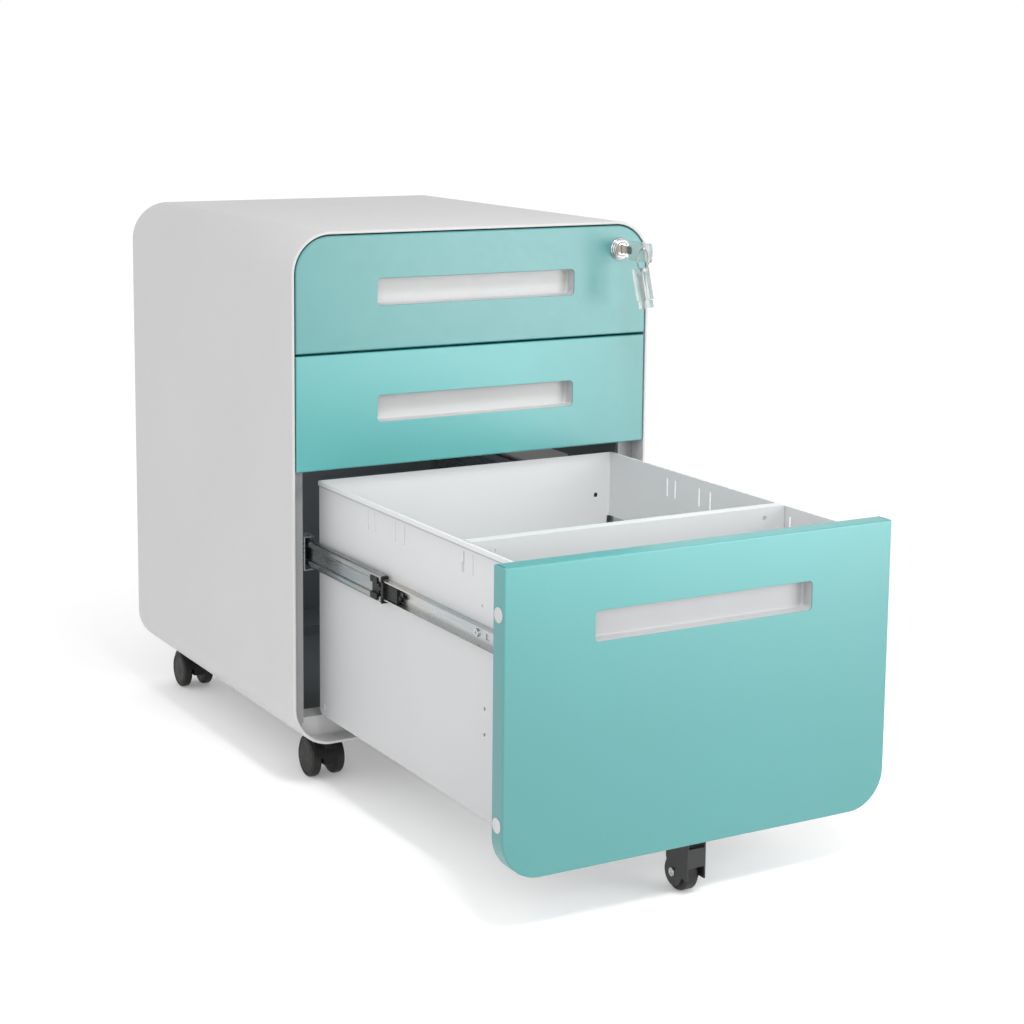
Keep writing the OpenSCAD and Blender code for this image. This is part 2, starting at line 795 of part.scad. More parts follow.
function catch_z() = [file_box_z + 204, middle_front_z + 93, top_front_z + 74];

module lock_housing() {
    color([0.8, 0.8, 0.8]) cab(lock_x, 0, lock_z) difference() {
        union() {
            rod_y(23, -2.2, 0);
            rod_y(20.5, -4, -2);
            rod_y(17.4, -5.6, -3.8);
            rod_y(16.4, -1, 21);
        }
        rod_y(plug_d + 0.1, -8, 23);
    }
}

module lock_plug() {
    color([0.62, 0.6, 0.58]) cab(lock_x, 0, lock_z) difference() {
        union() {
            rod_y(plug_d, -5, 21.4);
            rod_y(7, 21, 24.4);
        }
        block([-1.3, 1.3], [-6, 17], [-4.4, 4.4]);
    }
}

module lock_cam() {
    color("silver") cab(lock_x, 0, lock_z) difference() {
        union() {
            rod_y(13, 21.6, 23.4);
            block([-3.5, 3.5], [21.6, 23.4], [-cam_len, 0]);
        }
        rod_y(7, 20, 25);
    }
}

// vertical strip behind the right-hand return: its lifting tab and one catch a drawer
module lock_bar() {
    x0 = upright_x + upright_t + 0.6;
    color("silver") cab() union() {
        block([x0, x0 + 2], [catch_y - 2, catch_y + 10], [60, lock_z + 6]);
        for (z = catch_z()) block([upright_x - 2.2, x0 + e], [catch_y - 1, catch_y + 1], [z - 7, z + 1]);
        block([upright_x - 4.5, x0 + e], [catch_y - 1, catch_y + 1], [lock_z - 3, lock_z - 1]);
        block([upright_x - 4.5, upright_x - 1], [21.4, catch_y + 1], [lock_z - 3, lock_z - 1]);
    }
}

hole_y = -44;
hole_z = 4.1;
bow_t = 3.4;

module key_blade() {
    color([0.75, 0.74, 0.7]) cab(lock_x, 0, lock_z) difference() {
        block([-1.1, 1.1], [-24, 15], [-3.9, 3.9]);
        for (y = [-2:4:12]) translate([0, y, -4.6]) rotate([45, 0, 0]) cube([4, 2, 2], center = true);
    }
}

module key_head() {
    color([0.85, 0.9, 0.9, 0.5]) cab(lock_x, 0, lock_z) difference() {
        translate([-bow_t / 2, 0, 0]) rotate([90, 0, 90]) linear_extrude(bow_t) union() {
            translate([-55, -9.5]) square([36, 19]);
            translate([-58, -6.5]) square([42, 13]);
            for (y = [-55, -19], z = [-6.5, 6.5]) translate([y, z]) circle(r = 3);
        }
        block([-1.1, 1.1], [-24, -10], [-3.9, 3.9]);
        translate([0, hole_y, hole_z]) rod_x(4.4, 10);
    }
}

// key ring: hangs from the key's hole, turned a little off the drawer's face
ring_turn = 24;
ring_r = 10.9;
wire_r = 0.65;
spare_tilt = 12;

module at_ring() {
    cab(lock_x, hole_y, lock_z + hole_z) rotate([0, 0, ring_turn]) children();
}

module key_ring() {
    color("silver") at_ring() translate([0, 0, -ring_r]) rotate([90, 0, 0]) rotate_extrude()
        translate([ring_r, 0]) circle(r = wire_r);
}

module at_spare() {
    at_ring() translate([0, 0, -2 * ring_r]) rotate([-spare_tilt, 0, 0]) children();
}

module spare_key_head() {
    color([0.85, 0.9, 0.9, 0.5]) at_spare() difference() {
        union() {
            block([-3.4, 3.4], [-5, 11], [-30, 2.2]);
            block([-3.4, 3.4], [-3.5, 9.5], [-38.6, -30.8]);
            block([-1.6, 1.6], [-2, 8], [-33, -29]);
        }
        rod_x(4, 20);
        block([-1.5, 1.5], [0.5, 6.5], [-29.6, -3.6]);
    }
}

module spare_key_blade() {
    color([0.7, 0.7, 0.68]) at_spare() block([-1.1, 1.1], [0.9, 6.1], [-29.2, -4]);
}

// ---------- nodes ----------

outer_shell();
back_panel();
back_panel_screws();
left_upright();
right_upright();
top_front_rail();
bottom_front_rail();
floor_pan();
caster_stems();
caster_nuts();
file_cabinet_rails();
box_cabinet_rails(middle_slide_z);  // middle_cabinet_rails
box_cabinet_rails(top_slide_z);  // top_cabinet_rails
lock_bar();
file_front();
file_box();
file_pull_cup();
file_side_buttons();
file_divider();
file_drawer_rails();
file_rail_screws();
anti_tip_bracket();
anti_tip_axle();
anti_tip_wheel();
file_middle_rails();
file_end_blocks();
file_outer_cages();
file_outer_balls();
file_inner_cages();
file_inner_balls();
middle_front();
middle_box();
middle_pull_cup();
box_drawer_rails(middle_slide_z);  // middle_drawer_rails
box_cages(middle_slide_z);  // middle_cages
box_balls(middle_slide_z);  // middle_balls
top_front();
top_box();
top_pull_cup();
box_drawer_rails(top_slide_z);  // top_drawer_rails
box_cages(top_slide_z);  // top_cages
box_balls(top_slide_z);  // top_balls
lock_housing();
lock_plug();
lock_cam();
key_blade();
key_head();
key_ring();
spare_key_head();
spare_key_blade();
hood_at(-1, false);  // caster_fl_hood
wheels_at(-1, false);  // caster_fl_wheels
hood_at(1, false);  // caster_fr_hood
wheels_at(1, false);  // caster_fr_wheels
hood_at(-1, true);  // caster_rl_hood
wheels_at(-1, true);  // caster_rl_wheels
hood_at(1, true);  // caster_rr_hood
wheels_at(1, true);  // caster_rr_wheels
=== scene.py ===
import json
import math

import bmesh
import bpy
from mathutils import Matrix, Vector


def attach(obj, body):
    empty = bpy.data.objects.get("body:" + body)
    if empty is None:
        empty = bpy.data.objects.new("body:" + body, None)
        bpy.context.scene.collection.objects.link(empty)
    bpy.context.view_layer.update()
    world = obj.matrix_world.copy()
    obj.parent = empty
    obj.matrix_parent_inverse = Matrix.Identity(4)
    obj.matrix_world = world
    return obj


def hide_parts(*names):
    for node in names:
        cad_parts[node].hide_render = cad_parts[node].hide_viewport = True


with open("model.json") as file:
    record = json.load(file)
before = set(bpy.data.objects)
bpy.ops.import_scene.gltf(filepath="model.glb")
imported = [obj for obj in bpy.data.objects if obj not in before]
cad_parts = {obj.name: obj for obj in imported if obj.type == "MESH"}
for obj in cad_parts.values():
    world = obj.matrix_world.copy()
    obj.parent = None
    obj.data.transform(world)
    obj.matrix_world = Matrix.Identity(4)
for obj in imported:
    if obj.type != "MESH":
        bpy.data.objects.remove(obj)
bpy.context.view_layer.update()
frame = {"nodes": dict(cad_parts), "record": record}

MM = 0.001

# ---------- sizes, in millimetres ----------
BODY_W, BODY_D, BODY_H, CORNER_R, FOOT_H = 400.0, 431.0, 501.0, 40.5, 47.0
TRAVEL = 400.0
FRONT_Y = -(BODY_D - TRAVEL) / 2
SHELL_T, RIM_T, RIM_DEPTH, FLANGE_W = 1.2, 3.0, 22.0, 20.0
FRONT_GAP, FRONT_D, SHEET, LIP_W = 1.2, 18.0, 1.0, 9.0
FRONT_W = BODY_W - 2 * (RIM_T + FRONT_GAP)
FRONT_R = CORNER_R - RIM_T - FRONT_GAP
EDGE_R = 1.0
BOX_H, FILE_H = 111.2, 262.0
TOP_Z = BODY_H - RIM_T - FRONT_GAP - BOX_H
MIDDLE_Z = TOP_Z - 2.0 - BOX_H
FILE_Z = RIM_T + FRONT_GAP
FILE_BOX_Z, FILE_BOX_H = 28.3, 232.0
PULL_W, PULL_H, PULL_R, PULL_GROW = 220.0, 26.0, 4.0, 7.0
FILE_DROP, BOX_DROP = 45.0, (BOX_H - PULL_H) / 2
SLIT_INSET, SLIT_W = 1.9, 1.2
CUP_DEPTH, CUP_T = 13.5, 1.4
UPRIGHT_X = BODY_W / 2 - FLANGE_W - 1.4
SLIDE_T = 12.7
FILE_SLIDE_Z = 187.5
RAIL_Y0, MID_SETBACK, MID_LEN = 22.0, 40.0, 340.0
RAIL_HALF, RACE_HALF, WEB_T = 12.25, 7.0, 1.1
WINDOW_L, WINDOW_H, WINDOW_PITCH, WINDOW_INSET = 12.0, 10.0, 22.0, 36.0
GATE_W, GATE_D, VENT_W, VENT_XS = 35.2, 19.0, 0.8, (143, 150)
NOTCH_Z, NOTCH_H = 14.0, 8.0
LOCK_X, LOCK_Z = 163.7, BODY_H - 28.1
ARC = 24


# ---------- places ----------

def cab(x, y, z):
    """Millimetres from the shell's rim and underside, to metres in the shared frame."""
    return Vector((x, FRONT_Y + y, FOOT_H + z)) * MM


def drawn(x, y, z):
    """The same for the file drawer, which rests pulled out."""
    return cab(x, y - TRAVEL, z)


# ---------- mesh building ----------

class Shape:
    """Points and faces gathered in millimetres, then made into one object."""

    def __init__(self, place):
        self.place = place
        self.bm = bmesh.new()

    def ring(self, points):
        return [self.bm.verts.new(self.place(*p)) for p in points]

    def bridge(self, a, b):
        """Faces between two closed rings of equally many points."""
        for i in range(len(a)):
            j = (i + 1) % len(a)
            self.bm.faces.new((a[i], a[j], b[j], b[i]))

    def chain(self, rings, closed=False):
        for a, b in zip(rings, rings[1:]):
            self.bridge(a, b)
        if closed:
            self.bridge(rings[-1], rings[0])

    def cap(self, ring):
        self.bm.faces.new(ring)

    def fill(self, *rings):
        """Flat face between an outline and the holes in it."""
        edges = []
        for ring in rings:
            for i, v in enumerate(ring):
                w = ring[(i + 1) % len(ring)]
                edges.append(self.bm.edges.get((v, w)) or self.bm.edges.new((v, w)))
        bmesh.ops.triangle_fill(self.bm, use_beauty=True, edges=edges)

    def make(self, name, weighted=True):
        bmesh.ops.recalc_face_normals(self.bm, faces=self.bm.faces[:])
        mesh = bpy.data.meshes.new(name)
        self.bm.to_mesh(mesh)
        self.bm.free()
        obj = bpy.data.objects.new(name, mesh)
        bpy.context.scene.collection.objects.link(obj)
        soften(mesh)
        if weighted:
            weigh(obj)
        return obj


def soften(mesh, angle=38):
    """Smooth shading, with edges sharper than the angle kept crisp."""
    for p in mesh.polygons:
        p.use_smooth = True
    mesh.set_sharp_from_angle(angle=math.radians(angle))


def weigh(obj):
    """Normals weighted by face area, so that flats shade flat up to their rounded edges."""
    m = obj.modifiers.new("weigh", "WEIGHTED_NORMAL")
    m.keep_sharp = True
    m.weight = 60


def outline(x0, x1, z0, z1, radii, inset, y, seg=ARC):
    """Rounded rectangle in an XZ plane, from bottom right round to bottom left.
    radii: bottom right, top right, top left, bottom left."""
    points = []
    for k, (sx, sz, start) in enumerate(((1, -1, -90), (1, 1, 0), (-1, 1, 90), (-1, -1, 180))):
        r = max(radii[k] - inset, 0.2)
        cx = (x1 if sx > 0 else x0) - sx * (inset + r)
        cz = (z1 if sz > 0 else z0) - sz * (inset + r)
        for i in range(seg + 1):
            a = math.radians(start + 90 * i / seg)
            points.append((cx + r * math.cos(a), y, cz + r * math.sin(a)))
    return points


def arc(cx, cy, r, a0, a1, n=6):
    """Points of an arc in a flat section, from angle a0 to a1 in degrees."""
    angles = [math.radians(a0 + (a1 - a0) * i / n) for i in range(n + 1)]
    return [(cx + r * math.cos(a), cy + r * math.sin(a)) for a in angles]


def rounded(points, radii, n):
    """An open path with each inner corner rounded to its own radius."""
    out = [Vector(points[0])]
    for i in range(1, len(points) - 1):
        p, a, b = Vector(points[i]), Vector(points[i - 1]), Vector(points[i + 1])
        ua, ub = (a - p).normalized(), (b - p).normalized()
        half = ua.angle(ub) / 2
        d = min(radii[i - 1] / math.tan(half), (a - p).length * 0.49, (b - p).length * 0.49)
        r = d * math.tan(half)
        centre = p + (ua + ub).normalized() * (r / math.sin(half))
        s, t = p + ua * d - centre, p + ub * d - centre
        out += [centre + s.lerp(t, k / n).normalized() * r for k in range(n + 1)]
    out.append(Vector(points[-1]))
    return out


def thicken(path, t):
    """Closed outline of a strip of sheet that follows an open path."""
    left, right = [], []
    for i, p in enumerate(path):
        a, b = path[max(i - 1, 0)], path[min(i + 1, len(path) - 1)]
        d = (b - a).normalized()
        n = Vector((-d.y, d.x)) * (t / 2)
        left.append(p + n)
        right.append(p - n)
    return left + right[::-1]


def carve(obj, boxes):
    """Cuts boxes, given as x, y and z ranges in metres, out of an object's mesh."""
    bm = bmesh.new()
    for lo, hi in boxes:
        made = bmesh.ops.create_cube(bm, size=1)
        for v in made["verts"]:
            v.co = Vector(lo[k] + (hi[k] - lo[k]) * (v.co[k] + 0.5) for k in range(3))
    mesh = bpy.data.meshes.new("cutter")
    bm.to_mesh(mesh)
    bm.free()
    cutter = bpy.data.objects.new("cutter", mesh)
    bpy.context.scene.collection.objects.link(cutter)
    weighted = bool(obj.modifiers)
    obj.modifiers.clear()
    cut = obj.modifiers.new("cut", "BOOLEAN")
    cut.operation, cut.solver, cut.object = "DIFFERENCE", "EXACT", cutter
    graph = bpy.context.evaluated_depsgraph_get()
    result = bpy.data.meshes.new_from_object(obj.evaluated_get(graph))
    obj.modifiers.clear()
    obj.data = result
    bpy.data.objects.remove(cutter)
    bpy.data.meshes.remove(mesh)
    soften(result)
    if weighted:
        weigh(obj)


def span(place, xr, yr, zr):
    """A box as its lowest and highest corner in metres."""
    return place(xr[0], yr[0], zr[0]), place(xr[1], yr[1], zr[1])


# ---------- materials ----------

EVEN = (1, 1, 1)
DRAWN = (1, 0.04, 1)


class Mat:
    """A node material on one Principled shader, with small helpers for its detail."""

    def __init__(self, name, rough, metallic=0.0):
        self.mat = bpy.data.materials.new(name)
        self.mat.use_nodes = True
        self.tree = self.mat.node_tree
        self.shader = self.tree.nodes["Principled BSDF"]
        self.shader.inputs["Metallic"].default_value = metallic
        self.shader.inputs["Roughness"].default_value = rough
        self.coord = self.tree.nodes.new("ShaderNodeTexCoord")
        self.normal = None

    def link(self, a, b):
        self.tree.links.new(a, b)

    def noise(self, scale, detail, stretch=EVEN):
        mapping = self.tree.nodes.new("ShaderNodeMapping")
        mapping.inputs["Scale"].default_value = stretch
        self.link(self.coord.outputs["Object"], mapping.inputs["Vector"])
        node = self.tree.nodes.new("ShaderNodeTexNoise")
        node.inputs["Scale"].default_value = scale
        node.inputs["Detail"].default_value = detail
        self.link(mapping.outputs["Vector"], node.inputs["Vector"])
        return node.outputs["Fac"]

    def ramp(self, value, stops):
        node = self.tree.nodes.new("ShaderNodeValToRGB")
        while len(node.color_ramp.elements) < len(stops):
            node.color_ramp.elements.new(0.5)
        for e, (at, colour) in zip(node.color_ramp.elements, stops):
            e.position = at
            e.color = (*colour, 1)
        self.link(value, node.inputs["Fac"])
        return node.outputs["Color"]

    def spread(self, value, low, high):
        node = self.tree.nodes.new("ShaderNodeMapRange")
        node.inputs["From Min"].default_value = 0.3
        node.inputs["From Max"].default_value = 0.7
        node.inputs["To Min"].default_value = low
        node.inputs["To Max"].default_value = high
        self.link(value, node.inputs["Value"])
        return node.outputs["Result"]

    def colour(self, value, stops):
        self.link(self.ramp(value, stops), self.shader.inputs["Base Color"])
        return self

    def along(self, axis, start, end):
        """Position on one axis of the piece, as 0 to 1 between two heights or widths in metres."""
        axes = self.tree.nodes.new("ShaderNodeSeparateXYZ")
        self.link(self.coord.outputs["Object"], axes.inputs["Vector"])
        node = self.tree.nodes.new("ShaderNodeMapRange")
        node.inputs["From Min"].default_value = start
        node.inputs["From Max"].default_value = end
        self.link(axes.outputs[axis], node.inputs["Value"])
        return node.outputs["Result"]

    def tone(self, value, stops, where=None):
        """Multiplies the base colour by a ramp, everywhere or only where a mask says."""
        mix = self.tree.nodes.new("ShaderNodeMix")
        mix.data_type = "RGBA"
        mix.blend_type = "MULTIPLY"
        mix.inputs["Factor"].default_value = 1.0
        if where:
            self.link(where, mix.inputs["Factor"])
        self.link(self.shader.inputs["Base Color"].links[0].from_socket, mix.inputs[6])
        self.link(self.ramp(value, [(at, (k, k, k)) for at, k in stops]), mix.inputs[7])
        self.link(mix.outputs[2], self.shader.inputs["Base Color"])
        return self

    def beyond(self, reach):
        """Mask of what lies further than reach from the middle plane, on either side."""
        axes = self.tree.nodes.new("ShaderNodeSeparateXYZ")
        self.link(self.coord.outputs["Object"], axes.inputs["Vector"])
        side = self.tree.nodes.new("ShaderNodeMath")
        side.operation = "ABSOLUTE"
        self.link(axes.outputs["X"], side.inputs[0])
        outside = self.tree.nodes.new("ShaderNodeMath")
        outside.operation = "GREATER_THAN"
        outside.inputs[1].default_value = reach
        self.link(side.outputs[0], outside.inputs[0])
        return outside.outputs[0]

    def roughness(self, value, low, high):
        self.link(self.spread(value, low, high), self.shader.inputs["Roughness"])
        return self

    def specular(self, level):
        self.shader.inputs["Specular IOR Level"].default_value = level
        return self

    def bump(self, value, strength, depth):
        node = self.tree.nodes.new("ShaderNodeBump")
        node.inputs["Strength"].default_value = strength
        node.inputs["Distance"].default_value = depth
        self.link(value, node.inputs["Height"])
        if self.normal:
            self.link(self.normal, node.inputs["Normal"])
        self.normal = node.outputs["Normal"]
        self.link(self.normal, self.shader.inputs["Normal"])
        return self


def srgb(*levels):
    """A colour given as three levels of 0 to 255, as the linear values that a shader takes."""
    shares = [level / 255 for level in levels]
    return tuple(c / 12.92 if c <= 0.04045 else ((c + 0.055) / 1.055) ** 2.4 for c in shares)


def shade(colour, k):
    return tuple(min(c * k, 1) for c in colour)


def powder_coat(name, colour, rough, peel=0.1, shine=0.5):
    """Baked powder paint: a faint orange peel, a finer grain, and slight drift in tone and gloss."""
    m = Mat(name, rough).specular(shine)
    m.colour(m.noise(7, 3), [(0.3, shade(colour, 0.985)), (0.7, shade(colour, 1.012))])
    m.roughness(m.noise(160, 2), rough - 0.02, rough + 0.025)
    m.bump(m.noise(420, 2), peel, 0.0003)
    m.bump(m.noise(1900, 2), peel * 0.7, 0.0001)
    return m


def plated_steel(name, colour, rough, tint_a, tint_b, grain=DRAWN):
    """Plated steel: fine lines, along Y where it is rolled, and a drift between two tints."""
    m = Mat(name, rough, 1.0)
    blend = [(0.28, tint_a), (0.5, colour), (0.74, tint_b)]
    m.colour(m.noise(24, 4, (1, 0.35, 1)), blend)
    m.roughness(m.noise(900, 3, grain), rough - 0.09, rough + 0.12)
    m.bump(m.noise(1300, 2, grain), 0.12, 0.00012)
    return m


def moulded(name, colour, rough, grain=0.16, shine=0.5, drift=0.1):
    """Injection-moulded plastic: spark-eroded grain, a little flow marking."""
    m = Mat(name, rough).specular(shine)
    m.colour(m.noise(30, 3), [(0.3, shade(colour, 1 - drift)), (0.7, shade(colour, 1 + drift))])
    m.roughness(m.noise(120, 3), rough - 0.06, rough + 0.09)
    m.bump(m.noise(2600, 2), grain, 0.00012)
    return m


def clear_plastic(name):
    """Clear moulded plastic with a slightly uneven, handled surface."""
    m = Mat(name, 0.06)
    s = m.shader.inputs
    s["Transmission Weight"].default_value = 0.82
    s["IOR"].default_value = 1.3
    m.colour(m.noise(160, 2), [(0.3, (0.76, 0.79, 0.79)), (0.7, (0.86, 0.88, 0.88))])
    m.roughness(m.noise(300, 2), 0.03, 0.14)
    m.bump(m.noise(420, 2), 0.25, 0.0004)
    return m


def cup_plastic(name, colour):
    return moulded(name, colour, 0.4, 0.08, 0.5, 0.015)


def teal_coat(name, k):
    """The fronts' glossy paint, with its colour scaled by k; k above 1 makes lighter copies as painted
    light.
    """
    return powder_coat(name, shade(srgb(63, 135, 134), k), 0.34, 0.1, 0.95)


FINISH = {
    "shell_white": powder_coat("paint_shell", srgb(190, 189, 189), 0.42),
    "rail_white": powder_coat("paint_rail", srgb(186, 185, 186), 0.45),
    "charcoal_paint": powder_coat("paint_charcoal", srgb(94, 99, 102), 0.5, 0.14, 0.3),
    "teal_paint": teal_coat("paint_teal", 1.0),
    "box_white": powder_coat("paint_box", srgb(206, 207, 208), 0.43),
    "cup_white": cup_plastic("plastic_cup", srgb(186, 187, 187)),
    "zinc_rails": plated_steel(
        "zinc_rails", (0.52, 0.55, 0.56), 0.3, (0.4, 0.47, 0.49), (0.6, 0.58, 0.52)),
    "zinc_screws": plated_steel(
        "zinc_screws", (0.6, 0.61, 0.62), 0.28, (0.5, 0.54, 0.58), (0.64, 0.6, 0.52), EVEN),
    "intermediate_steel": plated_steel(
        "zinc_middle", (0.34, 0.35, 0.35), 0.3, (0.27, 0.33, 0.35), (0.42, 0.4, 0.37)),
    "cage_steel": plated_steel(
        "cage_steel", (0.4, 0.41, 0.42), 0.36, (0.36, 0.39, 0.42), (0.45, 0.43, 0.38)),
    "ball_steel": plated_steel(
        "ball_steel", (0.75, 0.76, 0.77), 0.08, (0.7, 0.72, 0.74), (0.78, 0.77, 0.75), EVEN),
    "lock_chrome": plated_steel(
        "lock_chrome", (0.62, 0.62, 0.63), 0.16, (0.56, 0.57, 0.59), (0.66, 0.65, 0.63), EVEN),
    "lock_plug_metal": plated_steel(
        "lock_plug", (0.5, 0.48, 0.44), 0.34, (0.44, 0.43, 0.42), (0.54, 0.5, 0.44), EVEN),
    "key_metal": plated_steel(
        "key_metal", (0.62, 0.6, 0.56), 0.24, (0.56, 0.56, 0.55), (0.66, 0.62, 0.55), EVEN),
    "key_clear": clear_plastic("key_clear"),
    "bracket_black": powder_coat("bracket_black", srgb(34, 34, 35), 0.38, 0.16),
    "caster_black": moulded("caster_black", srgb(22, 22, 23), 0.42, 0.16, 0.22),
    "caster_tread": moulded("caster_wheel", srgb(38, 36, 35), 0.5, 0.16, 0.25),
}


def file_box_coat_with_painted_shade():
    """Light paint. Outside the box, painted shade darkens it downwards, and a painted shadow line lies under
    the hem near the top.
    """
    m = powder_coat("paint_file_box_with_painted_shade", srgb(208, 209, 210), 0.43)
    foot = FOOT_H + FILE_BOX_Z
    # painted shade: the outer sides darken towards the floor
    painted_shade_falloff = [(0.0, 0.74), (0.9, 0.92)]
    # painted shadow: a dark line under the hem's lower edge
    painted_hem_shadow = [(0.9735, 0.92), (0.9755, 0.55), (0.982, 0.55), (0.984, 1.0)]
    outside = m.beyond((UPRIGHT_X - SLIDE_T - 0.5) * MM)
    return m.tone(m.along("Z", foot * MM, (foot + FILE_BOX_H) * MM), painted_shade_falloff + painted_hem_shadow, outside)


def middle_front_coat_painted_light():
    """Teal lightened by 1.38 as painted light, with painted shade deepening it towards the right."""
    m = teal_coat("paint_teal_middle_painted_light", 1.38)
    half = FRONT_W / 2 * MM
    return m.tone(m.along("X", -half, half), [(0.0, 0.96), (0.35, 1.0), (0.6, 0.98), (1.0, 0.7)])


def file_front_coat_painted_light():
    """Teal lightened by 1.15 as painted light, and painted darker towards the floor so that its top reads as
    lit.
    """
    m = teal_coat("paint_teal_file_painted_light", 1.15)
    foot = FOOT_H + FILE_Z
    return m.tone(m.along("Z", foot * MM, (foot + FILE_H) * MM),
                  [(0.0, 0.82), (0.4, 0.84), (0.75, 0.88), (1.0, 1.0)])


# Shell white painted darker for the side returns: painted shade from the rim in front of them.
SHADED_RETURN_COAT = powder_coat("paint_return_painted_shade", srgb(152, 152, 153), 0.45)
OWN_FINISH = {
    "file_box": file_box_coat_with_painted_shade(),
    "file_divider": powder_coat("paint_divider", srgb(192, 194, 195), 0.43),
    "file_front": file_front_coat_painted_light(),
    "middle_front": middle_front_coat_painted_light(),
    "key_ring": plated_steel("ring_steel", (0.34, 0.34, 0.35), 0.2, (0.28, 0.29, 0.31), (0.38, 0.37, 0.35)),
    "file_pull_cup": cup_plastic("plastic_cup_file", srgb(172, 173, 174)),
}
SLOT = {p["node"]: p["material_slot"] for p in frame["record"]["subparts"]}


def paint(obj, slot):
    """Gives a new piece the finish of a material slot."""
    obj.data.materials.clear()
    obj.data.materials.append(FINISH[slot].mat)


def stands_for(obj, node, body):
    paint(obj, SLOT[node])
    if node in OWN_FINISH:
        obj.data.materials[0] = OWN_FINISH[node].mat
    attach(obj, body)
    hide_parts(node)


# ---------- outer shell ----------

def shell_ring(inset, y):
    return outline(-BODY_W / 2, BODY_W / 2, 0, BODY_H, [CORNER_R] * 4, inset, y, 32)


def side_return(shape, s):
    """The strip turned in behind the rim on one side, round where it follows the corners."""
    inset = SHELL_T - 0.05
    r = CORNER_R - inset
    edge = BODY_W / 2 - FLANGE_W
    cx = BODY_W / 2 - CORNER_R
    reach = math.degrees(math.acos((edge - cx) / r))
    curve = [(cx + p[0], CORNER_R + p[1]) for p in arc(0, 0, r, -reach, 0, 14)]
    curve += [(cx + p[0], BODY_H - CORNER_R + p[1]) for p in arc(0, 0, r, 0, reach, 14)]
    front = shape.ring([(s * x, RIM_DEPTH, z) for x, z in curve])
    back = shape.ring([(s * x, RIM_DEPTH + SHELL_T, z) for x, z in curve])
    shape.bridge(front, back)
    shape.cap(front)
    shape.cap(back)


def build_shell():
    """The wrap with its rolled rim, then the two side returns behind it."""
    shape = Shape(cab)
    ro, ri, rb = 1.5, 1.0, 0.5
    profile = [(0, BODY_D - rb)] + arc(ro, ro, ro, 180, 270) + arc(RIM_T - ri, ri, ri, 270, 360)
    profile += [(RIM_T, RIM_DEPTH - 0.4), (RIM_T - 0.4, RIM_DEPTH), (SHELL_T, RIM_DEPTH)]
    profile += [(SHELL_T, BODY_D - rb), (SHELL_T - 0.3, BODY_D), (0.4, BODY_D), (0.12, BODY_D - 0.15)]
    shape.chain([shape.ring(shell_ring(i, y)) for i, y in profile], closed=True)
    shell = shape.make("shell_wrap")
    cuts = [span(cab, (-GATE_W / 2, GATE_W / 2), (-1, GATE_D), (-1, RIM_T + 0.5))]
    for x in VENT_XS:
        for s in (-1, 1):
            cuts.append(span(cab, (s * x - VENT_W / 2, s * x + VENT_W / 2), (3, 21), (1.8, 4.2)))
    carve(shell, cuts)
    stands_for(shell, "outer_shell", "cabinet")

    shape = Shape(cab)
    for s in (-1, 1):
        side_return(shape, s)
    returns = shape.make("shell_side_returns")
    edge = BODY_W / 2 - FLANGE_W
    notches = []
    for s in (-1, 1):
        for z in (NOTCH_Z, BODY_H - NOTCH_Z):
            zr = (z - NOTCH_H / 2, z + NOTCH_H / 2)
            notches.append(span(cab, (s * edge - 2, s * edge + 2), (19, 25), zr))
    carve(returns, notches)
    paint(returns, "shell_white")
    # the returns take the darker, painted-shade copy of the shell white
    returns.data.materials[0] = SHADED_RETURN_COAT.mat
    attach(returns, "cabinet")


# ---------- drawer fronts ----------

def front_piece(name, node, body, place, z0, h, r_bottom, r_top, drop, slits=False):
    """A folded pan with rounded bends, its pull opening and the lip turned in behind."""
    z1 = z0 + h
    x1 = FRONT_W / 2
    radii = [r_bottom, r_top, r_top, r_bottom]
    shape = Shape(place)

    def ring(inset, y):
        return shape.ring(outline(-x1, x1, z0, z1, radii, inset, y))

    def hole(grow, y):
        zt = z1 - drop
        return shape.ring(outline(-PULL_W / 2 - grow, PULL_W / 2 + grow, zt - PULL_H - grow, zt + grow,
                                  [PULL_R + grow] * 4, 0, y, 8))

    rf, rb = 1.5, 0.8
    profile = arc(rf, rf, rf, 270, 180)
    profile += arc(rb, FRONT_D - rb, rb, 180, 90, 4)
    profile += [(LIP_W, FRONT_D), (LIP_W, FRONT_D - SHEET), (SHEET, FRONT_D - SHEET), (SHEET, SHEET + 0.01)]
    rings = [ring(i, y) for i, y in profile]
    shape.chain(rings)
    holes = [hole(g, y) for g, y in ((0.55, 0), (0.2, 0.12), (0, 0.5), (0, SHEET + 0.01))]
    shape.chain(holes)
    shape.fill(rings[0], holes[0])
    shape.fill(rings[-1], holes[-1])
    piece = shape.make(name)
    if slits:
        slit_xs = [s * (x1 - SLIT_INSET) for s in (-1, 1)]
        carve(piece, [span(place, (x - SLIT_W / 2, x + SLIT_W / 2), (3, 16), (z1 - 2.2, z1 + 2.2))
                      for x in slit_xs])
    stands_for(piece, node, body)


